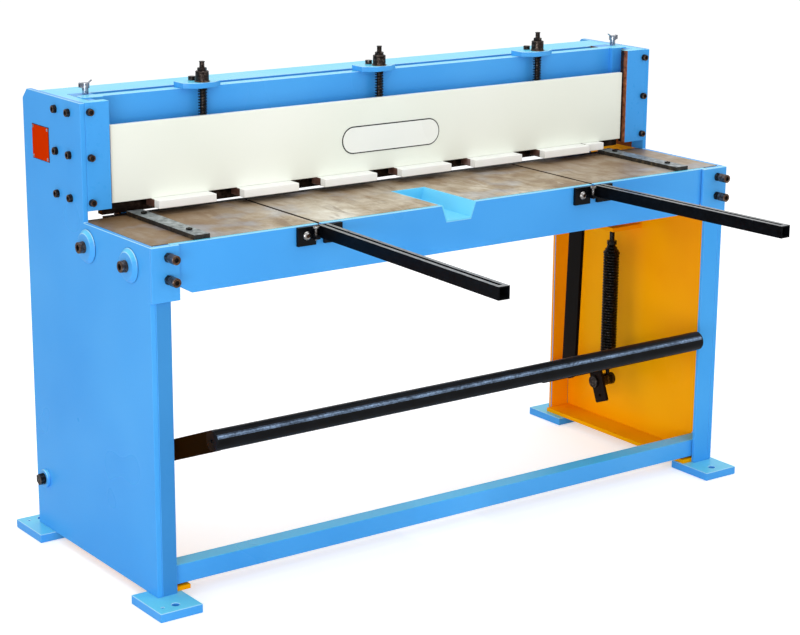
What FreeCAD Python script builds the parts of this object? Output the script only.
import FreeCAD, Part
import math
import os

# Treadle guillotine shear, sizes in millimetres, +X to the operator's right,
# +Y away from the operator, +Z up.
# The origin is on the floor, at the centre of the four anchor holes in the feet.

V = FreeCAD.Vector

# Fits
running_gap = 0.05
hole_play = 0.5
side_play = 0.5

# Frame
machine_width = 1608.0
frame_depth = 560.0
table_height = 780.0
column_height = 256.0
side_plate_t = 12.0
top_chamfer = 22.0
flange_t = 10.0
left_leg_width = 48.0
right_leg_width = 58.0
rear_flange_width = 71.0
rear_flange_drop = 30.0
bottom_lip_width = 86.0
bottom_lip_t = 10.0
lip_hole_r = 4.0

# Feet and anchor holes
anchor_spacing_y = 630.0
anchor_hole_r = 8.5
left_anchor_inset = 15.0
right_anchor_inset = 43.0
front_anchor_reach = 49.0
foot_t = 20.0
front_foot_length = 128.0
rear_foot_length = 127.0
front_foot_margin = 30.0
rear_foot_margin = 24.0
left_foot_overhang = 37.0
right_foot_overhang = 10.0
left_foot_width = 101.0
right_front_foot_width = 99.0
right_rear_foot_width = 112.0
pilot_hole_r = 3.0
pilot_hole_offset = 31.0

# Stretcher tube between the legs
stretcher_size = 43.0
stretcher_wall = 4.0
stretcher_setback = 12.0
stretcher_bottom = 35.0

# Bed: table, apron, blade bar and their supports
bed_depth = 326.0
apron_setback = 2.0
apron_t = 12.0
apron_height = 108.0
apron_end_gap = 2.0
apron_corner_x = 50.0
apron_corner_z = 28.0
table_t = 20.0
bed_end_t = 50.0
bed_end_height = 88.0
bar_depth = 30.0
bar_height = 62.0
rib_t = 10.0
rib_height = 60.0
first_rib = 250.0
second_rib = 560.0
third_rib = 1000.0
last_rib = 1330.0

# Slots and hand notch in the table
slot_width = 8.0
slot_neck = 7.0
slot_head_width = 14.0
slot_head_height = 5.0
left_slot_x = 415.5
slot_pitch = 769.0
notch_top_width = 89.0
notch_bottom_width = 64.0
notch_depth = 34.0
notch_length = 193.0
notch_x = 788.5
trough_t = 4.0

# Blades
blade_inset = 66.0
blade_t = 20.0
lower_blade_height = 62.0
upper_blade_height = 62.0
blade_gap = 0.3
blade_opening = 2.0
blade_rake = 8.0
blade_bolt_count = 10
blade_bolt_r = 6.0
blade_bolt_head_r = 9.0
blade_bolt_head_t = 7.0
blade_bolt_sink = 1.0
blade_bolt_short = 5.0
blade_bolt_margin = 60.0

# Ram
ram_t = 25.0
ram_top_rise = 2.0
ram_blade_cover = 42.0
ram_end_gap = 0.3
end_bar_t = 12.0
end_bar_width = 46.0
end_bar_height = 153.0

# Guides and their cover blocks in the columns
guide_bar_t = 24.0
guide_clearance = 0.3
guide_rise = 23.0
cover_t = 25.0
left_cover_width = 57.0
right_cover_width = 62.0
column_setback = 40.0
gib_width = 15.5
slide_width = 50.0
slide_depth = 43.7
guide_screw_front = 28.5
guide_screw_rear = 13.0
guide_screw_drops = (27.0, 118.0, 211.5)
cover_screw_drops = (20.4, 118.0, 215.0)
left_cover_screw_inset = 22.0
right_cover_screw_inset = 19.0
guide_screw_r = 5.0
guide_screw_head_r = 9.0
guide_screw_head = 8.0
guide_screw_grip = 18.0
cover_screw_head_r = 8.0
cover_screw_head = 10.0

# Rear rail between the columns
rail_gap = 2.0
rail_depth = 90.0
rail_height = 60.0
rail_wall = 8.0
rail_drop = 1.0

# Bed clamp bosses and bolts on the side plates
boss_r = 37.0
boss_t = 10.0
boss_chamfer = 8.0
boss_front_reach = 84.0
boss_front_drop = 53.0
boss_rear_reach = 56.0
boss_rear_drop = 48.5
clamp_bolt_r = 8.0
clamp_washer_r = 16.0
clamp_washer_t = 3.0
clamp_head_size = 26.0
clamp_head = 11.0

# Stop plates with jack screws that set the gap between the blades
stop_t = 8.0
stop_height = 117.0
left_stop_width = 66.0
right_stop_width = 77.0
jack_drops = (23.0, 70.0)
left_jack_inset = 39.0
right_jack_inset = 31.0
jack_r = 6.0
jack_head_r = 10.0
jack_head = 24.0
jack_reach = 35.0
jack_nut_size = 19.0
jack_nut_t = 10.0

# Hold-down beam, pads and spring rods
hold_t = 12.0
hold_setback = 10.0
hold_inset_left = 75.0
hold_inset_right = 81.0
hold_height = 169.0
pad_gap = 14.0
pad_t = 18.0
pad_depth = 58.0
pad_back = 12.0
pad_width = 145.0
pad_pitch = 216.2
pad_count = 6
pad_first = 170.5
end_pad_x = 1400.0
end_pad_width = 56.0
end_pad_depth = 31.0
station_first = 322.0
station_pitch = 476.0
station_count = 3
rod_reach = 20.0
rod_r = 6.0
hold_lug_width = 32.0
hold_lug_depth = 34.0
hold_lug_t = 12.0
hold_lug_drop = 15.0
bracket_t = 13.0
bracket_width = 96.0
bracket_nose = 16.0
bracket_corner = 26.0
bracket_corner_depth = 18.0
bracket_bolt_x = -8.0
bracket_bolt_reach = 14.0
bracket_bolt_r = 5.0
bracket_bolt_head_r = 8.0
bracket_bolt_head = 9.0
bracket_bolt_grip = 25.0
washer_r = 17.0
washer_t = 2.0
washer_lift = 0.3
collar_r = 15.0
collar_height = 22.0
lock_nut_size = 19.0
lock_nut_t = 7.0
rod_end = 14.0
rod_tail = 3.0
hold_spring_r = 9.0
hold_spring_wire = 3.0
hold_spring_turns = 8

# Treadle: tube, arms, pivots
tube_r = 22.5
tube_wall = 3.5
tube_reach = 63.0
tube_z = 368.0
left_tube_inset = 104.0
right_tube_inset = 131.0
cap_t = 3.0
cap_hole_r = 4.0
left_arm_inset = 112.0
right_arm_inset = 126.0
arm_t = 12.0
arm_width = 46.0
arm_saddle = 11.0
pivot_setback = 48.0
pivot_z = 141.0
pivot_r = 12.0
pivot_boss_r = 21.0
pivot_boss_t = 8.0
pivot_head_size = 24.0
pivot_head = 12.0
pivot_washer_r = 18.0
pivot_washer_t = 8.0
sleeve_r = 20.0

# Links from the treadle arms up to the ram
link_lower_back = 38.0
link_upper_back = 17.0
link_upper_drop = 17.0
link_width = 50.0
link_t = 10.0
left_link_inset = 140.0
right_link_inset = 147.0
link_pin_r = 10.0
arm_pin_r = 8.0
arm_pin_play = 2.4
lug_t = 12.0
lug_gap = 1.0
lug_low_margin = 25.0
lug_high_margin = 130.0
lug_back = 16.0
pin_head_r = 15.0
pin_head_t = 6.0

# Return springs under the bed ends
return_inset = 81.0
return_setback = 13.0
return_wire = 5.0
spring_bend_share = 1.3
return_r = 18.5
return_turns = 33
return_top_drop = 64.0
return_bottom_rise = 45.0
return_rod_r = 6.5
cone_height = 22.0
cone_tip_r = 7.5
cone_base_r = 22.0
top_collar_r = 12.75
top_collar_t = 10.0
bracket_plate_drop = 205.0
bracket_plate_t = 10.0
bracket_plate_width = 99.0
bracket_plate_depth = 65.0
bracket_plate_reach = 36.0
gusset_t = 8.0
gusset_height = 78.0
gusset_setback = 20.0
rod_nut_size = 22.0
rod_nut_t = 10.0
rod_nut_tail = 12.0
eye_drop = 46.1
eye_r = 15.0
eye_t = 10.0
eye_play = 2.6
hook_cone = 18.0
hook_cone_r = 7.0
hook_stem_r = 5.0
hook_stem_overlap = 4.0

# Straps that carry the lower spring pins on the arms
strap_t = 8.0
strap_width = 44.0
strap_lead = 10.0
strap_top = 16.0
strap_drop = 102.0
strap_corner = 3.0
spring_pin_r = 6.5
spring_pin_collar_r = 16.0
spring_pin_collar_t = 9.0
spring_pin_head = 5.0
spare_hole_drop = 84.5
spare_hole_r = 4.0
strap_bolt_r = 5.0
strap_bolt_head_size = 16.0
strap_bolt_head = 7.0
strap_bolt_pitch = 22.0

# Sheet support arms and their brackets on the apron
arm_tube = 27.0
arm_wall = 3.0
arm_slot = 8.0
arm_slot_stop = 12.0
left_arm_shift = 2.5
left_arm_splay = 21.0
left_arm_length = 646.0
right_arm_shift = 8.5
right_arm_splay = -36.0
right_arm_length = 568.0
arm_end_trim = 5.0
mount_plate_t = 8.0
mount_plate_width = 114.0
mount_plate_drop = 2.0
mount_plate_height = 41.0
mount_plate_shift = 4.0
mount_notch_width = 22.0
mount_notch_height = 15.0
mount_bolt_left = 35.0
mount_bolt_right = 39.0
mount_bolt_drop = 21.0
mount_bolt_r = 6.0
mount_bolt_head_r = 10.0
mount_bolt_head = 6.0
adjuster_r = 4.0
adjuster_head_r = 7.0
adjuster_head = 5.0
adjuster_offset = 24.0
adjuster_reach = 9.0
adjuster_tab_t = 8.0
adjuster_tab_width = 12.0
adjuster_tab_length = 18.0
adjuster_length = 30.0

# Squaring gauges on the table
gauge_inset = 112.0
gauge_width = 38.0
gauge_t = 10.0
gauge_front = 10.0
gauge_length = 290.0
gauge_bolt_reaches = (53.0, 246.0)
gauge_bolt_r = 4.0
gauge_bolt_head_r = 7.0
gauge_bolt_head = 4.0
gauge_bolt_grip = 12.0

# Oil cups with hinged lids
left_cup_inset = 69.0
right_cup_inset = 31.0
cup_reach = 82.0
cup_stem_r = 7.0
cup_stem = 14.0
cup_r = 9.5
cup_height = 9.0
cup_bore_r = 6.0
cup_hinge_reach = 12.0
cup_hinge_r = 2.0
cup_hinge_pin_r = 1.0
cup_ear_t = 1.6
cup_knuckle = 4.0
cup_ear_gap = 0.2
cup_ear_rise = 1.0
lid_t = 1.6
lid_gap = 0.3
lid_tab = 8.0
lid_tab_rise = 5.6
lid_tab_root = 2.0
lid_tab_width = 6.0

# Bare plates
data_plate_clearance = 24.6
data_plate_margin = 44.0
data_plate_drop = 150.0
data_plate_height = 77.0
plate_sheet_t = 1.5
badge_reach = 736.0
badge_rise = 76.0
badge_width = 279.0
badge_height = 64.0
rivet_r = 2.0
rivet_head_r = 3.5
rivet_head = 1.5
rivet_margin = 6.0
rivet_grip = 4.0

# Places worked out from the sizes above
anchor_spacing_x = machine_width - left_anchor_inset - right_anchor_inset
left_face = -anchor_spacing_x / 2 - left_anchor_inset
right_face = left_face + machine_width
middle = (left_face + right_face) / 2
left_inner = left_face + side_plate_t
right_inner = right_face - side_plate_t
front = -anchor_spacing_y / 2 + front_anchor_reach
rear = front + frame_depth
column_top = table_height + column_height
cut_y = front + bed_depth
column_front = cut_y - column_setback
cover_rear = column_front + cover_t
apron_front = front + apron_setback
apron_rear = apron_front + apron_t
table_rear = cut_y - blade_t
ram_front = cut_y + blade_t
ram_rear = ram_front + ram_t
ram_top = column_top + ram_top_rise
ram_left = left_inner + guide_bar_t + ram_end_gap
ram_right = right_inner - guide_bar_t - ram_end_gap
slide_rear = ram_rear + guide_clearance + slide_depth
hold_front = column_front + hold_setback
hold_rear = hold_front + hold_t
hold_bottom = table_height + pad_gap + pad_t
hold_top = hold_bottom + hold_height
bracket_top = ram_top + bracket_t
guide_bottom = table_height + guide_rise
guide_screw_y = (cover_rear + guide_screw_front, slide_rear - guide_screw_rear)
guide_screw_z = [column_top - drop for drop in guide_screw_drops]
cover_screw_z = [column_top - drop for drop in cover_screw_drops]
boss_places = (
    (front + boss_front_reach, table_height - boss_front_drop),
    (cut_y - boss_rear_reach, table_height - boss_rear_drop),
)
rod_y = hold_rear + rod_reach
bracket_bolt_y = ram_front + bracket_bolt_reach
cup_y = cover_rear + cup_reach
tube_y = front - tube_reach
pivot_y = rear - pivot_setback
arm_reach = math.hypot(tube_y - pivot_y, tube_z - pivot_z)
arm_run = (tube_y - pivot_y) / arm_reach
arm_climb = (tube_z - pivot_z) / arm_reach
rib_stations = (first_rib, second_rib, third_rib, last_rib)
link_lower_y = ram_front + link_lower_back
link_lower_z = pivot_z + arm_climb * (link_lower_y - pivot_y) / arm_run
link_upper_y = ram_front + link_upper_back
link_upper_z = table_height - link_upper_drop
return_y = cut_y - return_setback
bracket_plate_z = table_height - bracket_plate_drop
return_top = bracket_plate_z - return_top_drop
eye_z = pivot_z + (arm_climb * (return_y - pivot_y) + eye_drop) / arm_run
eye_reach = arm_run * (return_y - pivot_y) + arm_climb * (eye_z - pivot_z)
return_bottom = eye_z + return_bottom_rise
strap_reach = eye_reach + strap_lead
mount_front = apron_front - mount_plate_t
mount_top = table_height - mount_plate_drop
gauge_start = apron_front + gauge_front
gauge_bolt_y = [gauge_start + reach for reach in gauge_bolt_reaches]
data_plate_y = max(guide_screw_y) + guide_screw_head_r + data_plate_clearance
data_plate_rear = rear - data_plate_margin
data_plate_z = column_top - data_plate_drop


def box(x0, x1, y0, y1, z0, z1):
    return Part.makeBox(x1 - x0, y1 - y0, z1 - z0, V(x0, y0, z0))


def bar_x(y, z, radius, x0, x1):
    return Part.makeCylinder(radius, x1 - x0, V(x0, y, z), V(1, 0, 0))


def bar_y(x, z, radius, y0, y1):
    return Part.makeCylinder(radius, y1 - y0, V(x, y0, z), V(0, 1, 0))


def bar_z(x, y, radius, z0, z1):
    return Part.makeCylinder(radius, z1 - z0, V(x, y, z0), V(0, 0, 1))


def prism(points, run):
    return Part.Face(Part.makePolygon(points + points[:1])).extrude(run)


def prism_x(outline, x0, x1):
    return prism([V(x0, y, z) for y, z in outline], V(x1 - x0, 0, 0))


def prism_y(outline, y0, y1):
    return prism([V(x, y0, z) for x, z in outline], V(0, y1 - y0, 0))


def prism_z(outline, z0, z1):
    return prism([V(x, y, z0) for x, y in outline], V(0, 0, z1 - z0))


def hexagon(across_flats):
    radius = across_flats / math.sqrt(3)
    angles = [math.radians(60 * side + 30) for side in range(6)]
    return [(radius * math.cos(a), radius * math.sin(a)) for a in angles]


def hex_x(y, z, across_flats, x0, x1):
    return prism_x([(y + u, z + w) for u, w in hexagon(across_flats)], x0, x1)


def hex_y(x, z, across_flats, y0, y1):
    return prism_y([(x + u, z + w) for u, w in hexagon(across_flats)], y0, y1)


def hex_z(x, y, across_flats, z0, z1):
    return prism_z([(x + u, y + w) for u, w in hexagon(across_flats)], z0, z1)


def cut(shape, *tools):
    for tool in tools:
        shape = shape.cut(tool)
    return shape


def joined(*shapes):
    whole = shapes[0]
    for shape in shapes[1:]:
        whole = whole.fuse(shape)
    return whole.removeSplitter()


def mirrored(shape):
    return shape.mirror(V(middle, 0, 0), V(1, 0, 0))


def both_sides(shape):
    return [shape, mirrored(shape)]


def save(name, shapes):
    solids = [solid for shape in shapes for solid in shape.Solids]
    Part.makeCompound(solids).exportStep("parts/" + name + ".step")


def biarc(p0, t0, p1, t1):
    chord = p1 - p0
    tangents = t0 + t1
    spread = 2 * (1 - t0.dot(t1))
    reach = chord.dot(tangents)
    arm = (math.sqrt(reach * reach + spread * chord.dot(chord)) - reach) / spread
    joint = (p0 + p1 + (t0 - t1) * arm) * 0.5
    return [arc(p0, p0 + t0 * arm, joint), arc(joint, p1 - t1 * arm, p1)]


def arc(start, corner, end):
    weight = (end - start).Length / 2 / (corner - start).Length
    half = (start + corner * (2 * weight) + end) * (1 / (2 + 2 * weight))
    return Part.Arc(start, half, end).toShape()


# A coil spring as one unbroken tube: straight ends square to their seats,
# a bend into the helix at each end, and a biarc for each quarter turn.
def coil_spring(x, y, z_low, z_high, mean_r, wire, turns):
    bend = wire * spring_bend_share
    per_turn = 2 * math.pi * mean_r
    height = z_high - z_low - 2 * (wire + bend)
    slope = math.atan2(height / turns, per_turn)
    z_start = z_low + wire + bend * math.cos(slope)
    rise = z_high - z_low - 2 * (wire + bend * math.cos(slope))

    def place(turn):
        angle = 2 * math.pi * turn
        radial = V(math.cos(angle), math.sin(angle), 0)
        return V(x, y, z_start + rise * turn / turns) + radial * mean_r

    def heading(turn):
        angle = 2 * math.pi * turn
        level = V(-math.sin(angle), math.cos(angle), 0) * per_turn
        return (level + V(0, 0, rise / turns)).normalize()

    def end_bend(turn, way):
        flat = V(heading(turn).x, heading(turn).y, 0).normalize()
        lean = math.atan2(rise / turns, per_turn)
        foot = place(turn) + flat * (way * bend * (1 - math.sin(lean)))
        foot = foot + V(0, 0, way * bend * math.cos(lean))
        return foot

    low_foot = end_bend(0, -1)
    high_foot = end_bend(turns, 1)
    seat_low = V(low_foot.x, low_foot.y, z_low)
    seat_high = V(high_foot.x, high_foot.y, z_high)
    edges = [Part.LineSegment(seat_low, low_foot).toShape()]
    edges += biarc(low_foot, V(0, 0, 1), place(0), heading(0))
    for quarter in range(4 * turns):
        start = quarter / 4
        end = (quarter + 1) / 4
        edges += biarc(place(start), heading(start), place(end), heading(end))
    edges += biarc(place(turns), heading(turns), high_foot, V(0, 0, 1))
    edges.append(Part.LineSegment(high_foot, seat_high).toShape())
    path = Part.Wire(edges)
    section = Part.Wire([Part.Circle(seat_low, V(0, 0, 1), wire / 2).toShape()])
    tube = path.makePipeShell([section], True, False)
    return Part.Solid(tube) if tube.ShapeType == "Shell" else tube, path


# The least gap of a coil to itself, measured on points along its centre line.
def report_gap(name, path, wire):
    points = path.discretize(Distance=wire)[:400]
    neighbours = 6
    least = min(
        (points[i] - points[j]).Length
        for i in range(len(points) // 2)
        for j in range(i + neighbours, len(points))
    )
    print(name, "least gap to itself", round(least - wire, 2), "mm")


def side_plates():
    outline = [
        (front, foot_t),
        (front, table_height),
        (column_front, table_height),
        (column_front, column_top),
        (rear - top_chamfer, column_top),
        (rear, column_top - top_chamfer),
        (rear, foot_t),
    ]
    plate = prism_x(outline, left_face, left_inner)
    for y, z in boss_places:
        plate = plate.cut(bar_x(y, z, clamp_bolt_r + hole_play, left_face, left_inner))
    plate = plate.cut(bar_x(pivot_y, pivot_z, pivot_r + hole_play, left_face, left_inner))
    for y in guide_screw_y:
        for z in guide_screw_z:
            plate = plate.cut(bar_x(y, z, guide_screw_r + hole_play, left_face, left_inner))
    right_plate = mirrored(plate)
    for y, z in rivet_places():
        plate = plate.cut(bar_x(y, z, rivet_r + running_gap, left_face, left_face + rivet_grip))
    save("left_side_plate", [plate])
    save("right_side_plate", [right_plate])


def jack_places():
    places = []
    for x in (left_face + left_jack_inset, right_face - right_jack_inset):
        for drop in jack_drops:
            places.append((x, table_height - drop))
    return places


def leg_flanges():
    rear_top = column_top - top_chamfer - rear_flange_drop
    rear_front = rear - flange_t
    leg_rear = front + flange_t
    left_leg = box(left_inner, left_face + left_leg_width, front, leg_rear, foot_t, table_height)
    right_leg = box(right_face - right_leg_width, right_inner, front, leg_rear, foot_t, table_height)
    for x, z in jack_places():
        hole = bar_y(x, z, jack_r + hole_play, front, leg_rear)
        left_leg = left_leg.cut(hole)
        right_leg = right_leg.cut(hole)
    rear_leg = box(left_inner, left_face + rear_flange_width, rear_front, rear, foot_t, rear_top)
    save("leg_flanges", [left_leg, right_leg] + both_sides(rear_leg))
    lip_top = foot_t + bottom_lip_t
    lip = box(left_inner, left_face + bottom_lip_width, leg_rear, rear_front, foot_t, lip_top)
    hole_x = left_face + bottom_lip_width - bottom_lip_t
    lip = lip.cut(bar_z(hole_x, (front + rear) / 2, lip_hole_r, foot_t, lip_top))
    save("bottom_lips", both_sides(lip))


def floor_feet():
    anchor_x = anchor_spacing_x / 2
    anchor_y = anchor_spacing_y / 2
    front_edge = -anchor_y - front_foot_margin
    rear_edge = anchor_y + rear_foot_margin
    left_edge = left_face - left_foot_overhang
    right_edge = right_face + right_foot_overhang
    front_end = front_edge + front_foot_length
    rear_end = rear_edge - rear_foot_length
    feet = [
        box(left_edge, left_edge + left_foot_width, front_edge, front_end, 0, foot_t),
        box(left_edge, left_edge + left_foot_width, rear_end, rear_edge, 0, foot_t),
        box(right_edge - right_front_foot_width, right_edge, front_edge, front_end, 0, foot_t),
        box(right_edge - right_rear_foot_width, right_edge, rear_end, rear_edge, 0, foot_t),
    ]
    holes = []
    for y in (-anchor_y, anchor_y):
        for x in (-anchor_x, anchor_x):
            holes.append(bar_z(x, y, anchor_hole_r, 0, foot_t))
        holes.append(bar_z(-anchor_x - pilot_hole_offset, y, pilot_hole_r, 0, foot_t))
    save("floor_feet", [cut(foot, *holes) for foot in feet])


def front_stretcher():
    y0 = front + stretcher_setback
    z0 = stretcher_bottom
    outer = box(left_inner, right_inner, y0, y0 + stretcher_size, z0, z0 + stretcher_size)
    y1 = y0 + stretcher_wall
    z1 = z0 + stretcher_wall
    bore = stretcher_size - 2 * stretcher_wall
    inner = box(left_inner, right_inner, y1, y1 + bore, z1, z1 + bore)
    save("front_stretcher", [outer.cut(inner)])


def slot_places():
    return (left_face + left_slot_x, left_face + left_slot_x + slot_pitch)


def slot_cutter(x):
    neck_z = table_height - slot_neck
    half_neck = slot_width / 2
    half_head = slot_head_width / 2
    neck = box(x - half_neck, x + half_neck, mount_front, table_rear, neck_z, table_height)
    head = box(x - half_head, x + half_head, mount_front, table_rear, neck_z - slot_head_height, neck_z)
    return neck.fuse(head)


# The hand notch narrows downwards; the trough lines it with sheet steel.
def notch_block(grow, y0, y1, floor_z):
    x = left_face + notch_x
    share = grow / notch_depth
    lean = (notch_top_width - notch_bottom_width) / 2
    top = notch_top_width / 2 + grow
    bottom = notch_bottom_width / 2 + grow - lean * share
    outline = [
        (x - top, table_height),
        (x + top, table_height),
        (x + bottom, floor_z),
        (x - bottom, floor_z),
    ]
    return prism_y(outline, y0, y1)


def bed():
    notch_end = apron_front + notch_length
    notch_floor = table_height - notch_depth
    lined = notch_block(trough_t, apron_front, notch_end + trough_t, notch_floor - trough_t)
    inside = notch_block(0, apron_front, notch_end, notch_floor)
    slots = [slot_cutter(x) for x in slot_places()]
    table = box(left_inner, right_inner, apron_rear, table_rear, table_height - table_t, table_height)
    table = cut(table, lined, *slots)
    for y in gauge_bolt_y:
        for x in gauge_places():
            low = table_height - gauge_bolt_grip
            table = table.cut(bar_z(x, y, gauge_bolt_r + running_gap, low, table_height))
    save("bed_table", [table])
    save("notch_trough", [lined.cut(inside)])

    apron_left = left_face + left_leg_width + apron_end_gap
    apron_right = right_face - right_leg_width - apron_end_gap
    apron_bottom = table_height - apron_height
    outline = [
        (apron_left, table_height),
        (apron_right, table_height),
        (apron_right, apron_bottom + apron_corner_z),
        (apron_right - apron_corner_x, apron_bottom),
        (apron_left + apron_corner_x, apron_bottom),
        (apron_left, apron_bottom + apron_corner_z),
    ]
    apron = cut(prism_y(outline, apron_front, apron_rear), lined, *slots)
    for x, z in mount_bolt_places():
        apron = apron.cut(bar_y(x, z, mount_bolt_r + running_gap, apron_front, apron_rear))
    save("bed_apron", [apron])

    under_table = table_height - table_t
    bar_left = left_inner + bed_end_t
    bar_right = right_inner - bed_end_t
    end_low = under_table - bed_end_height
    end = box(left_inner, bar_left, apron_rear, table_rear, end_low, under_table)
    for y, z in boss_places:
        end = end.cut(bar_x(y, z, clamp_bolt_r + running_gap, left_inner, bar_left))
    save("bed_ends", both_sides(end))

    bar_front = table_rear - bar_depth
    bar = box(bar_left, bar_right, bar_front, table_rear, under_table - bar_height, under_table)
    for x in blade_bolt_places():
        bar = bar.cut(bar_y(x, lower_bolt_z(), blade_bolt_r + running_gap, bar_front, table_rear))
    save("blade_bar", [bar])

    ribs = []
    for station in rib_stations:
        x = left_face + station
        ribs.append(box(x, x + rib_t, apron_rear, bar_front, under_table - rib_height, under_table))
    save("bed_ribs", ribs)


def blade_bolt_places():
    first = left_face + blade_inset + blade_bolt_margin
    last = right_face - blade_inset - blade_bolt_margin
    step = (last - first) / (blade_bolt_count - 1)
    return [first + step * number for number in range(blade_bolt_count)]


def lower_bolt_z():
    return table_height - table_t - (lower_blade_height - table_t) / 2


def upper_blade_bottom(x):
    left_end = left_face + blade_inset
    length = machine_width - 2 * blade_inset
    return table_height + blade_opening + blade_rake * (x - left_end) / length


def upper_bolt_z(x):
    return upper_blade_bottom(x) + upper_blade_height - ram_blade_cover / 2


def ram_bottom(x):
    return upper_blade_bottom(x) + upper_blade_height - ram_blade_cover


def lower_blade():
    blade_left = left_face + blade_inset
    blade_right = right_face - blade_inset
    blade_low = table_height - lower_blade_height
    blade = box(blade_left, blade_right, table_rear, cut_y, blade_low, table_height)
    bolts = []
    head_rear = cut_y - blade_bolt_sink
    head_front = head_rear - blade_bolt_head_t
    for x in blade_bolt_places():
        z = lower_bolt_z()
        blade = blade.cut(bar_y(x, z, blade_bolt_r + running_gap, table_rear, cut_y))
        blade = blade.cut(bar_y(x, z, blade_bolt_head_r + running_gap, head_front, cut_y))
        shank = bar_y(x, z, blade_bolt_r, table_rear - bar_depth, head_front)
        head = bar_y(x, z, blade_bolt_head_r, head_front, head_rear)
        bolts.append(joined(shank, head))
    save("lower_blade", [blade])
    save("lower_blade_bolts", bolts)


def stop_plates():
    z0 = table_height - stop_height
    plates = [
        box(left_face, left_face + left_stop_width, front - stop_t, front, z0, table_height),
        box(right_face - right_stop_width, right_face, front - stop_t, front, z0, table_height),
    ]
    screws = []
    nuts = []
    stop_front = front - stop_t
    head_end = stop_front - jack_reach
    for x, z in jack_places():
        hole = bar_y(x, z, jack_r + running_gap, stop_front, front)
        plates = [plate.cut(hole) for plate in plates]
        shank = bar_y(x, z, jack_r, head_end + jack_head, apron_rear)
        head = bar_y(x, z, jack_head_r, head_end, head_end + jack_head)
        screws.append(joined(shank, head))
        nut = hex_y(x, z, jack_nut_size, stop_front - jack_nut_t, stop_front)
        nuts.append(nut.cut(bar_y(x, z, jack_r + running_gap, stop_front - jack_nut_t, stop_front)))
    save("stop_plates", plates)
    save("jack_screws", screws)
    return nuts


def side_bosses():
    bosses = []
    bolts = []
    outside = left_face - boss_t
    for y, z in boss_places:
        straight = bar_x(y, z, boss_r, outside + boss_chamfer, left_face)
        bevel = Part.makeCone(boss_r - boss_chamfer, boss_r, boss_chamfer, V(outside, y, z), V(1, 0, 0))
        boss = joined(straight, bevel)
        bosses += both_sides(boss.cut(bar_x(y, z, clamp_bolt_r + hole_play, outside, left_face)))
        washer_left = outside - clamp_washer_t
        washer = bar_x(y, z, clamp_washer_r, washer_left, outside)
        head = hex_x(y, z, clamp_head_size, washer_left - clamp_head, washer_left)
        shank = bar_x(y, z, clamp_bolt_r, outside, left_inner + bed_end_t)
        bolts += both_sides(joined(washer, head, shank))
    pivot_outside = left_face - pivot_boss_t
    boss = bar_x(pivot_y, pivot_z, pivot_boss_r, pivot_outside, left_face)
    boss = boss.cut(bar_x(pivot_y, pivot_z, pivot_r + hole_play, pivot_outside, left_face))
    save("side_bosses", bosses + both_sides(boss))
    save("side_boss_bolts", bolts)


def rear_rail():
    y0 = slide_rear + rail_gap
    y1 = y0 + rail_depth
    z1 = column_top - rail_drop
    z0 = z1 - rail_height
    outer = box(left_inner, right_inner, y0, y1, z0, z1)
    inner = box(left_inner, right_inner, y0 + rail_wall, y1 - rail_wall, z0, z1 - rail_wall)
    save("rear_rail", [outer.cut(inner)])


def guides():
    bar = box(left_inner, left_inner + guide_bar_t, cover_rear, slide_rear, guide_bottom, column_top)
    screws = []
    for y in guide_screw_y:
        for z in guide_screw_z:
            inner_end = left_inner + guide_screw_grip
            bar = bar.cut(bar_x(y, z, guide_screw_r + running_gap, left_inner, inner_end))
            head = bar_x(y, z, guide_screw_head_r, left_face - guide_screw_head, left_face)
            screws += both_sides(joined(head, bar_x(y, z, guide_screw_r, left_face, inner_end)))
    bars = both_sides(bar)
    left_end = left_inner + left_cover_width
    right_end = right_inner - right_cover_width
    covers = [
        box(left_inner, left_end, column_front, cover_rear, guide_bottom, column_top),
        box(right_end, right_inner, column_front, cover_rear, guide_bottom, column_top),
    ]
    for x in (left_face + left_cover_screw_inset, right_face - right_cover_screw_inset):
        for z in cover_screw_z:
            hole = bar_y(x, z, guide_screw_r + running_gap, column_front, cover_rear + guide_screw_grip)
            covers = [cover.cut(hole) for cover in covers]
            bars = [each.cut(hole) for each in bars]
            head = bar_y(x, z, cover_screw_head_r, column_front - cover_screw_head, column_front)
            shank = bar_y(x, z, guide_screw_r, column_front, cover_rear + guide_screw_grip)
            screws.append(joined(head, shank))
    save("cover_blocks", covers)
    save("column_screws", screws)
    save("guide_bars", bars)
    gib_left = left_inner + guide_bar_t
    gib_rear = ram_front - end_bar_t - guide_clearance
    gib = box(gib_left, gib_left + gib_width, cover_rear, gib_rear, guide_bottom, column_top)
    slide_front = ram_rear + guide_clearance
    slide = box(gib_left, gib_left + slide_width, slide_front, slide_rear, guide_bottom, column_top)
    save("gib_strips", both_sides(gib) + both_sides(slide))


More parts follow.
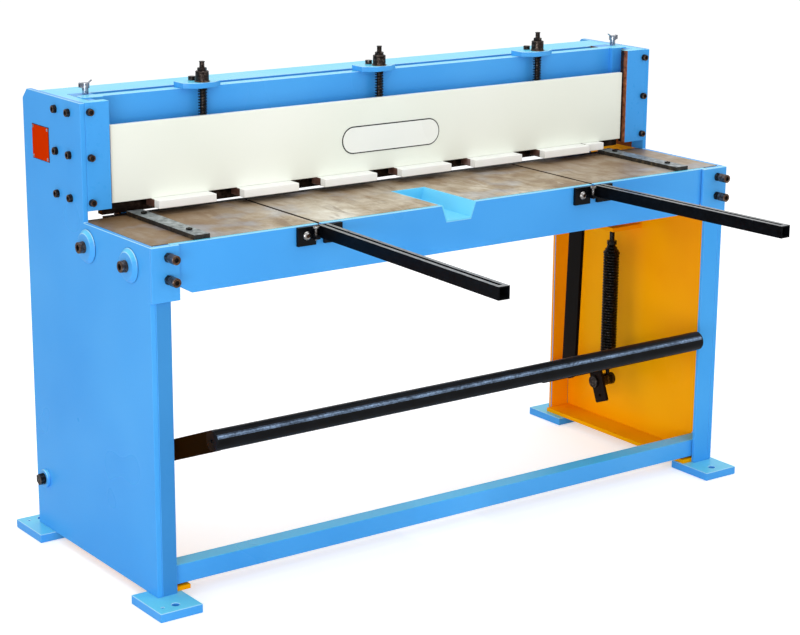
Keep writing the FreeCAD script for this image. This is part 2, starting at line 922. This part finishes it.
def oil_cups():
    cups = []
    places = (
        (left_face + left_cup_inset, 1, "left_oil_lid"),
        (right_face - right_cup_inset, -1, "right_oil_lid"),
    )
    for x, way, lid_name in places:
        stem_top = column_top + cup_stem
        rim = stem_top + cup_height
        hinge_x = x - way * cup_hinge_reach
        hinge_z = rim + lid_gap + lid_t / 2
        body = joined(
            bar_z(x, cup_y, cup_stem_r, column_top, stem_top),
            bar_z(x, cup_y, cup_r, stem_top, rim),
        )
        body = body.cut(bar_z(x, cup_y, cup_bore_r, stem_top, rim))
        reach = cup_knuckle / 2 + cup_ear_gap
        for side in (-1, 1):
            y0 = cup_y + side * reach
            y1 = cup_y + side * (reach + cup_ear_t)
            low = min(y0, y1)
            high = max(y0, y1)
            ear = bar_y(hinge_x, hinge_z, cup_hinge_r, low, high)
            arm_x = sorted((hinge_x - way * cup_hinge_r, x - way * cup_bore_r))
            arm = box(arm_x[0], arm_x[1], low, high, stem_top + cup_ear_rise, rim)
            web = sorted((hinge_x - way * cup_hinge_r, hinge_x + way * cup_hinge_r))
            post = box(web[0], web[1], low, high, stem_top + cup_ear_rise, hinge_z)
            body = joined(body, ear, arm, post)
        pin_half = reach + cup_ear_t
        pin = bar_y(hinge_x, hinge_z, cup_hinge_pin_r, cup_y - pin_half, cup_y + pin_half)
        body = joined(body, pin)
        body = body.cut(bar_z(x, cup_y, cup_bore_r, stem_top, rim))
        cups.append(body)

        half_knuckle = cup_knuckle / 2
        lid_low = rim + lid_gap
        disc = bar_z(x, cup_y, cup_r, lid_low, lid_low + lid_t)
        knuckle_front = cup_y - half_knuckle
        knuckle_rear = cup_y + half_knuckle
        knuckle = bar_y(hinge_x, hinge_z, cup_hinge_r - running_gap, knuckle_front, knuckle_rear)
        leaf_x = sorted((hinge_x, x))
        leaf = box(leaf_x[0], leaf_x[1], knuckle_front, knuckle_rear, lid_low, lid_low + lid_t)
        half_tab = lid_tab_width / 2
        root_x = x + way * (cup_r - lid_tab_root)
        tip_x = root_x + way * lid_tab
        tip_z = lid_low + lid_tab_rise
        tab = prism_y(
            [(root_x, lid_low), (tip_x, tip_z), (tip_x, tip_z + lid_t), (root_x, lid_low + lid_t)],
            cup_y - half_tab,
            cup_y + half_tab,
        )
        lid = joined(disc, leaf, knuckle, tab)
        pin_hole_r = cup_hinge_pin_r + running_gap
        lid = lid.cut(bar_y(hinge_x, hinge_z, pin_hole_r, knuckle_front, knuckle_rear))
        save(lid_name, [lid])
    save("oil_cups", cups)


def ram():
    outline = [
        (ram_left, ram_bottom(ram_left)),
        (ram_right, ram_bottom(ram_right)),
        (ram_right, ram_top),
        (ram_left, ram_top),
    ]
    plate = prism_y(outline, ram_front, ram_rear)
    blade_left = left_face + blade_inset
    blade_right = right_face - blade_inset
    blade_outline = [
        (blade_left, upper_blade_bottom(blade_left)),
        (blade_right, upper_blade_bottom(blade_right)),
        (blade_right, upper_blade_bottom(blade_right) + upper_blade_height),
        (blade_left, upper_blade_bottom(blade_left) + upper_blade_height),
    ]
    blade = prism_y(blade_outline, cut_y + blade_gap, ram_front)
    bolts = []
    sink = cut_y + blade_gap + blade_bolt_sink + blade_bolt_head_t
    bolt_end = ram_rear - blade_bolt_short
    for x in blade_bolt_places():
        z = upper_bolt_z(x)
        blade = blade.cut(bar_y(x, z, blade_bolt_head_r + running_gap, cut_y, sink))
        blade = blade.cut(bar_y(x, z, blade_bolt_r + running_gap, sink, ram_front))
        plate = plate.cut(bar_y(x, z, blade_bolt_r + running_gap, ram_front, bolt_end))
        head = bar_y(x, z, blade_bolt_head_r, sink - blade_bolt_head_t, sink)
        bolts.append(joined(head, bar_y(x, z, blade_bolt_r, sink, bolt_end)))
    bolt_low = ram_top - bracket_bolt_grip
    for x in station_places():
        bolt_x = x + bracket_bolt_x
        plate = plate.cut(bar_z(bolt_x, bracket_bolt_y, bracket_bolt_r + running_gap, bolt_low, ram_top))
    save("ram_plate", [plate])
    save("upper_blade", [blade])
    bar_right = ram_left + end_bar_width
    bar_low = ram_top - end_bar_height
    end_bar = box(ram_left, bar_right, ram_front - end_bar_t, ram_front, bar_low, ram_top)
    save("ram_end_bars", both_sides(end_bar))
    return bolts


def station_places():
    return [left_face + station_first + station_pitch * number for number in range(station_count)]


def ram_brackets():
    brackets = []
    bolts = []
    nose = rod_y - bracket_nose
    half = bracket_width / 2
    for x in station_places():
        outline = [
            (x - half, ram_rear),
            (x - half, nose + bracket_corner_depth),
            (x - half + bracket_corner, nose),
            (x + half - bracket_corner, nose),
            (x + half, nose + bracket_corner_depth),
            (x + half, ram_rear),
        ]
        plate = prism_z(outline, ram_top, bracket_top)
        bolt_x = x + bracket_bolt_x
        plate = plate.cut(bar_z(x, rod_y, rod_r + hole_play, ram_top, bracket_top))
        bolt_hole = bar_z(bolt_x, bracket_bolt_y, bracket_bolt_r + running_gap, ram_top, bracket_top)
        brackets.append(plate.cut(bolt_hole))
        shank = bar_z(bolt_x, bracket_bolt_y, bracket_bolt_r, ram_top - bracket_bolt_grip, bracket_top)
        head_top = bracket_top + bracket_bolt_head
        head = bar_z(bolt_x, bracket_bolt_y, bracket_bolt_head_r, bracket_top, head_top)
        bolts.append(joined(shank, head))
    save("ram_brackets", brackets)
    return bolts


def hold_down():
    hold_left = left_face + hold_inset_left
    hold_right = right_face - hold_inset_right
    save("hold_down_beam", [box(hold_left, hold_right, hold_front, hold_rear, hold_bottom, hold_top)])
    pad_rear = hold_rear + pad_back
    pad_low = hold_bottom - pad_t
    pads = []
    for number in range(pad_count):
        x = left_face + pad_first + pad_pitch * number
        pads.append(box(x, x + pad_width, pad_rear - pad_depth, pad_rear, pad_low, hold_bottom))
    x = left_face + end_pad_x
    end_front = hold_rear - end_pad_depth
    pads.append(box(x, x + end_pad_width, end_front, hold_rear, pad_low, hold_bottom))
    save("hold_down_pads", pads)

    lug_top_z = hold_top - hold_lug_drop
    lug_low = lug_top_z - hold_lug_t
    washer_low = bracket_top + washer_lift
    washer_top = washer_low + washer_t
    nut_z = washer_top + collar_height
    rod_top = nut_z + lock_nut_t + rod_end
    rod_low = lug_low - lock_nut_t - rod_tail
    lug_rear = hold_rear + hold_lug_depth
    half_lug = hold_lug_width / 2
    lugs = []
    rods = []
    collars = []
    nuts = []
    springs = []
    for x in station_places():
        lug = box(x - half_lug, x + half_lug, hold_rear, lug_rear, lug_low, lug_top_z)
        lugs.append(lug.cut(bar_z(x, rod_y, rod_r + running_gap, lug_low, lug_top_z)))
        rods.append(bar_z(x, rod_y, rod_r, rod_low, rod_top))
        washer = bar_z(x, rod_y, washer_r, washer_low, washer_top)
        collar = bar_z(x, rod_y, collar_r, washer_top, nut_z)
        bore = bar_z(x, rod_y, rod_r + running_gap, rod_low, rod_top)
        collars.append(joined(washer, collar).cut(bore))
        nuts.append(hex_z(x, rod_y, lock_nut_size, nut_z, nut_z + lock_nut_t).cut(bore))
        nuts.append(hex_z(x, rod_y, lock_nut_size, lug_low - lock_nut_t, lug_low).cut(bore))
        spring, path = coil_spring(
            x, rod_y, lug_top_z, ram_top, hold_spring_r, hold_spring_wire, hold_spring_turns
        )
        springs.append(spring)
    report_gap("hold-down spring", path, hold_spring_wire)
    save("hold_down_lugs", lugs)
    save("hold_down_rods", rods)
    save("hold_down_nuts", collars + nuts)
    save("hold_down_springs", springs)


# A place on the treadle, told by its reach along the arm and its drop below it.
def on_arm(reach, drop):
    y = pivot_y + arm_run * reach - arm_climb * drop
    z = pivot_z + arm_climb * reach + arm_run * drop
    return y, z


def treadle_arm(inset):
    x0 = left_face + inset
    x1 = x0 + arm_t
    flat = box(x0, x1, 0, arm_reach - arm_saddle, -arm_width / 2, arm_width / 2)
    flat = joined(flat, bar_x(0, 0, arm_width / 2, x0, x1))
    turn = math.degrees(math.atan2(arm_climb, arm_run))
    flat.rotate(V(0, 0, 0), V(1, 0, 0), turn)
    flat.translate(V(0, pivot_y, pivot_z))
    arm = flat.cut(bar_x(tube_y, tube_z, tube_r, x0, x1))
    arm = arm.cut(bar_x(pivot_y, pivot_z, pivot_r + running_gap, x0, x1))
    arm = arm.cut(bar_x(link_lower_y, link_lower_z, arm_pin_r + running_gap, x0, x1))
    for y, z in strap_bolt_places():
        arm = arm.cut(bar_x(y, z, strap_bolt_r + running_gap, x0, x1))
    return arm


def treadle():
    save("treadle_arms", [treadle_arm(left_arm_inset), mirrored(treadle_arm(right_arm_inset))])
    tube_left = left_face + left_tube_inset
    tube_right = right_face - right_tube_inset
    outer = bar_x(tube_y, tube_z, tube_r, tube_left, tube_right)
    bore = bar_x(tube_y, tube_z, tube_r - tube_wall, tube_left, tube_right)
    save("treadle_tube", [outer.cut(bore)])
    caps = [
        bar_x(tube_y, tube_z, tube_r, tube_left - cap_t, tube_left),
        bar_x(tube_y, tube_z, tube_r, tube_right, tube_right + cap_t),
    ]
    hole = bar_x(tube_y, tube_z, cap_hole_r, tube_left - cap_t, tube_right + cap_t)
    save("treadle_caps", [cap.cut(hole) for cap in caps])


def pivot_sleeve(inset):
    end = left_face + inset - side_play
    sleeve = bar_x(pivot_y, pivot_z, sleeve_r, left_inner, end)
    return sleeve.cut(bar_x(pivot_y, pivot_z, pivot_r + running_gap, left_inner, end))


def pivot_pin(inset):
    outside = left_face - pivot_boss_t
    washer_left = left_face + inset + arm_t + side_play
    head = hex_x(pivot_y, pivot_z, pivot_head_size, outside - pivot_head, outside)
    shank = bar_x(pivot_y, pivot_z, pivot_r, outside, washer_left)
    washer = bar_x(pivot_y, pivot_z, pivot_washer_r, washer_left, washer_left + pivot_washer_t)
    return joined(head, shank, washer)


def pivots():
    save("pivot_sleeves", [pivot_sleeve(left_arm_inset), mirrored(pivot_sleeve(right_arm_inset))])
    save("pivot_pins", [pivot_pin(left_arm_inset), mirrored(pivot_pin(right_arm_inset))])


# A lug that is stepped under the ram plate and runs up its rear face.
def link_lug(x0, x1):
    lug_rear = ram_rear + lug_back
    lug_low = link_upper_z - lug_low_margin
    lug_high = link_upper_z + lug_high_margin
    outline = [
        (ram_front, lug_low),
        (lug_rear, lug_low),
        (lug_rear, lug_high),
        (ram_rear, lug_high),
        (ram_rear, ram_bottom(x0)),
        (ram_front, ram_bottom(x0)),
    ]
    lug = prism_x(outline, x0, x1)
    return lug.cut(bar_x(link_upper_y, link_upper_z, link_pin_r + running_gap, x0, x1))


def link(inset):
    x0 = left_face + inset
    x1 = x0 + link_t
    length = math.hypot(link_upper_y - link_lower_y, link_upper_z - link_lower_z)
    half = link_width / 2
    flat = box(x0, x1, -half, half, 0, length)
    flat = joined(flat, bar_x(0, 0, half, x0, x1), bar_x(0, length, half, x0, x1))
    lean = math.degrees(math.atan2(link_lower_y - link_upper_y, link_upper_z - link_lower_z))
    flat.rotate(V(0, 0, 0), V(1, 0, 0), lean)
    flat.translate(V(0, link_lower_y, link_lower_z))
    bar = flat.cut(bar_x(link_upper_y, link_upper_z, link_pin_r + running_gap, x0, x1))
    return bar.cut(bar_x(link_lower_y, link_lower_z, arm_pin_r + arm_pin_play, x0, x1))


def link_pin(inset):
    lug_left = left_face + inset - lug_gap - lug_t
    end = left_face + inset + link_t + side_play
    head = bar_x(link_upper_y, link_upper_z, pin_head_r, lug_left - pin_head_t, lug_left)
    shank = bar_x(link_upper_y, link_upper_z, link_pin_r, lug_left, end)
    keeper = bar_x(link_upper_y, link_upper_z, pin_head_r, end, end + pin_head_t)
    return joined(head, shank, keeper)


def arm_pin(arm_inset, link_inset):
    arm_left = left_face + arm_inset
    link_left = left_face + link_inset
    end = link_left + link_t + side_play
    head = bar_x(link_lower_y, link_lower_z, pin_head_r, arm_left - pin_head_t, arm_left)
    shank = bar_x(link_lower_y, link_lower_z, arm_pin_r, arm_left, end)
    shoulder = bar_x(link_lower_y, link_lower_z, pin_head_r, arm_left + arm_t, link_left - side_play)
    keeper = bar_x(link_lower_y, link_lower_z, pin_head_r, end, end + pin_head_t)
    return joined(head, shank, shoulder, keeper)


def links():
    save("links", [link(left_link_inset), mirrored(link(right_link_inset))])
    lug_right = left_face + left_link_inset - lug_gap
    lug_left = right_face - right_link_inset + lug_gap
    save("link_lugs", [link_lug(lug_right - lug_t, lug_right), link_lug(lug_left, lug_left + lug_t)])
    save("link_pins", [link_pin(left_link_inset), mirrored(link_pin(right_link_inset))])
    left_pin = arm_pin(left_arm_inset, left_link_inset)
    right_pin = arm_pin(right_arm_inset, right_link_inset)
    save("arm_pins", [left_pin, mirrored(right_pin)])


def return_springs():
    x = left_face + return_inset
    plate_right = left_inner + bracket_plate_width
    top = bracket_plate_z + bracket_plate_t
    plate_front = return_y - bracket_plate_reach
    plate_rear = plate_front + bracket_plate_depth
    plate = box(left_inner, plate_right, plate_front, plate_rear, bracket_plate_z, top)
    rib_outline = [(left_inner, top), (plate_right - gusset_setback, top), (left_inner, top + gusset_height)]
    rib = prism_y(rib_outline, plate_rear - gusset_t, plate_rear)
    bracket = joined(plate, rib).cut(bar_z(x, return_y, return_rod_r + hole_play, bracket_plate_z, top))
    save("spring_brackets", both_sides(bracket))

    cone_top = return_top + cone_height
    collar_top = cone_top + top_collar_t
    rod_top = top + rod_nut_t + rod_nut_tail
    cone = Part.makeCone(cone_base_r, cone_tip_r, cone_height, V(x, return_y, return_top), V(0, 0, 1))
    collar = bar_z(x, return_y, top_collar_r, cone_top, collar_top)
    rod = bar_z(x, return_y, return_rod_r, collar_top, rod_top)
    save("spring_rods", both_sides(joined(cone, collar, rod)))
    nut = hex_z(x, return_y, rod_nut_size, top, top + rod_nut_t)
    nut = nut.cut(bar_z(x, return_y, return_rod_r + running_gap, top, rod_top))

    spring, path = coil_spring(x, return_y, return_bottom, return_top, return_r, return_wire, return_turns)
    report_gap("return spring", path, return_wire)
    save("return_springs", both_sides(spring))

    plug_low = return_bottom - hook_cone
    plug = Part.makeCone(hook_cone_r, cone_base_r, hook_cone, V(x, return_y, plug_low), V(0, 0, 1))
    stem = bar_z(x, return_y, hook_stem_r, eye_z + eye_r - hook_stem_overlap, plug_low)
    ring = bar_x(return_y, eye_z, eye_r, x - eye_t / 2, x + eye_t / 2)
    hook = joined(plug, stem, ring)
    hole = bar_x(return_y, eye_z, spring_pin_r + eye_play, x - eye_t / 2, x + eye_t / 2)
    save("spring_hooks", both_sides(hook.cut(hole)))
    return both_sides(nut)


def strap_bolt_places():
    half = strap_bolt_pitch / 2
    return (on_arm(strap_reach - half, 0), on_arm(strap_reach + half, 0))


# A flat strap square to the arm, bolted to the arm's outer face.
def spring_strap(inset):
    x1 = left_face + inset
    x0 = x1 - strap_t
    low = strap_reach - strap_width / 2
    high = strap_reach + strap_width / 2
    corners = [
        (low, -strap_top),
        (high, -strap_top),
        (high, strap_drop - strap_corner),
        (high - strap_corner, strap_drop),
        (low + strap_corner, strap_drop),
        (low, strap_drop - strap_corner),
    ]
    strap = prism_x([on_arm(reach, drop) for reach, drop in corners], x0, x1)
    spare_y, spare_z = on_arm(strap_reach, spare_hole_drop)
    strap = strap.cut(bar_x(return_y, eye_z, spring_pin_r + running_gap, x0, x1))
    strap = strap.cut(bar_x(spare_y, spare_z, spare_hole_r, x0, x1))
    for y, z in strap_bolt_places():
        strap = strap.cut(bar_x(y, z, strap_bolt_r + running_gap, x0, x1))
    return strap


def strap_bolt(inset, y, z):
    x0 = left_face + inset - strap_t
    arm_right = left_face + inset + arm_t
    shank = bar_x(y, z, strap_bolt_r, x0, arm_right)
    return joined(shank, hex_x(y, z, strap_bolt_head_size, arm_right, arm_right + strap_bolt_head))


def spring_pin(inset):
    x1 = left_face + inset
    x0 = x1 - strap_t
    eye_x = left_face + return_inset
    eye_right = eye_x + eye_t / 2 + side_play
    eye_left = eye_x - eye_t / 2 - side_play
    head = bar_x(return_y, eye_z, spring_pin_collar_r, x1, x1 + spring_pin_head)
    shank = bar_x(return_y, eye_z, spring_pin_r, eye_left, x1)
    spacer = bar_x(return_y, eye_z, spring_pin_collar_r, eye_right, x0)
    keeper = bar_x(return_y, eye_z, spring_pin_collar_r, eye_left - spring_pin_collar_t, eye_left)
    return joined(head, shank, spacer, keeper)


def straps():
    bolts = []
    for y, z in strap_bolt_places():
        bolts.append(strap_bolt(left_arm_inset, y, z))
        bolts.append(mirrored(strap_bolt(right_arm_inset, y, z)))
    save("spring_straps", [spring_strap(left_arm_inset), mirrored(spring_strap(right_arm_inset))])
    save("strap_bolts", bolts)
    save("spring_pins", [spring_pin(left_arm_inset), mirrored(spring_pin(right_arm_inset))])


def mount_places():
    return [x - mount_plate_shift for x in slot_places()]


def mount_bolt_places():
    z = table_height - mount_bolt_drop
    return [(x + offset, z) for x in mount_places() for offset in (-mount_bolt_left, mount_bolt_right)]


def arm_foot_places():
    left_slot, right_slot = slot_places()
    return (left_slot + left_arm_shift, right_slot + right_arm_shift)


# A slotted square tube that points away from the bed; a positive splay takes
# its tip to the left. Its inner end is trimmed flush with the mounting plate.
def support_arm(foot_x, splay, length):
    half = arm_tube / 2
    half_bore = half - arm_wall
    half_slot = arm_slot / 2
    top = table_height
    low = top - arm_tube
    tube = box(-half, half, -length, arm_end_trim, low, top)
    bore = box(-half_bore, half_bore, -length, arm_end_trim, low + arm_wall, top - arm_wall)
    slot = box(-half_slot, half_slot, -length + arm_slot_stop, arm_end_trim, top - arm_wall, top)
    tube = cut(tube, bore, slot)
    tube.rotate(V(0, 0, 0), V(0, 0, 1), -math.degrees(math.atan2(splay, length)))
    tube.translate(V(foot_x, mount_front, 0))
    beyond = box(foot_x - arm_tube, foot_x + arm_tube, mount_front, mount_front + arm_tube, low, top)
    return tube.cut(beyond)


def support_arms():
    left_foot, right_foot = arm_foot_places()
    left_arm = support_arm(left_foot, left_arm_splay, left_arm_length)
    right_arm = support_arm(right_foot, right_arm_splay, right_arm_length)
    save("support_arms", [left_arm, right_arm])
    plates = []
    bolts = []
    adjusters = []
    top = mount_top
    low = top - mount_plate_height
    half = mount_plate_width / 2
    half_notch = mount_notch_width / 2
    for x, foot_x, slot_x in zip(mount_places(), arm_foot_places(), slot_places()):
        outline = [
            (x - half, top),
            (x - half, low),
            (x - half_notch, low),
            (x - half_notch, low + mount_notch_height),
            (x + half_notch, low + mount_notch_height),
            (x + half_notch, low),
            (x + half, low),
            (x + half, top),
        ]
        plate = prism_y(outline, mount_front, apron_front)
        screw_x = foot_x - adjuster_offset
        screw_y = mount_front - adjuster_reach
        half_tab = adjuster_tab_width / 2
        tab_front = mount_front - adjuster_tab_length
        tab_low = low + mount_notch_height
        tab_top = tab_low + adjuster_tab_t
        tab = box(screw_x - half_tab, screw_x + half_tab, tab_front, mount_front, tab_low, tab_top)
        plate = joined(plate, tab)
        plate = plate.cut(bar_z(screw_x, screw_y, adjuster_r + running_gap, tab_low, tab_top))
        plates.append(plate.cut(slot_cutter(slot_x)))
        head_low = table_height - adjuster_head
        shank = bar_z(screw_x, screw_y, adjuster_r, table_height - adjuster_length, head_low)
        head = bar_z(screw_x, screw_y, adjuster_head_r, head_low, table_height)
        adjusters.append(joined(shank, head))
    for x, z in mount_bolt_places():
        hole = bar_y(x, z, mount_bolt_r + running_gap, mount_front, apron_front)
        plates = [plate.cut(hole) for plate in plates]
        head = bar_y(x, z, mount_bolt_head_r, mount_front - mount_bolt_head, mount_front)
        bolts.append(joined(head, bar_y(x, z, mount_bolt_r, mount_front, apron_rear)))
    save("arm_mounts", plates)
    return bolts + adjusters


def gauge_places():
    inset = gauge_inset + gauge_width / 2
    return (left_face + inset, right_face - inset)


def gauges():
    bars = []
    bolts = []
    half = gauge_width / 2
    top = table_height + gauge_t
    for x in gauge_places():
        bar = box(x - half, x + half, gauge_start, gauge_start + gauge_length, table_height, top)
        for y in gauge_bolt_y:
            bar = bar.cut(bar_z(x, y, gauge_bolt_r + running_gap, table_height, top))
            head = bar_z(x, y, gauge_bolt_head_r, top, top + gauge_bolt_head)
            bolts.append(joined(head, bar_z(x, y, gauge_bolt_r, table_height - gauge_bolt_grip, top)))
        bars.append(bar)
    save("gauge_bars", bars)
    return bolts


def rivet_places():
    y0 = data_plate_y + rivet_margin
    y1 = data_plate_rear - rivet_margin
    z0 = data_plate_z + rivet_margin
    z1 = data_plate_z + data_plate_height - rivet_margin
    return [(y0, z0), (y0, z1), (y1, z0), (y1, z1)]


def bare_plates():
    plate_front = left_face - plate_sheet_t
    plate_top = data_plate_z + data_plate_height
    plate = box(plate_front, left_face, data_plate_y, data_plate_rear, data_plate_z, plate_top)
    rivets = []
    for y, z in rivet_places():
        plate = plate.cut(bar_x(y, z, rivet_r + running_gap, plate_front, left_face))
        head = bar_x(y, z, rivet_head_r, plate_front - rivet_head, plate_front)
        rivets.append(joined(head, bar_x(y, z, rivet_r, plate_front, left_face + rivet_grip)))
    save("data_plate", [plate] + rivets)

    half = badge_height / 2
    badge_x = left_face + hold_inset_left + badge_reach
    badge_z = hold_bottom + badge_rise
    x0 = badge_x - badge_width / 2 + half
    x1 = badge_x + badge_width / 2 - half
    face = hold_front - plate_sheet_t
    bar = box(x0, x1, face, hold_front, badge_z - half, badge_z + half)
    ends = [bar_y(x, badge_z, half, face, hold_front) for x in (x0, x1)]
    save("blank_badge", [joined(bar, *ends)])


def main():
    os.makedirs("parts", exist_ok=True)
    side_plates()
    leg_flanges()
    floor_feet()
    front_stretcher()
    bed()
    lower_blade()
    save("lock_nuts", stop_plates() + return_springs())
    side_bosses()
    rear_rail()
    guides()
    oil_cups()
    save("ram_bolts", ram() + ram_brackets())
    hold_down()
    treadle()
    pivots()
    links()
    straps()
    save("table_screws", support_arms() + gauges())
    bare_plates()


main()
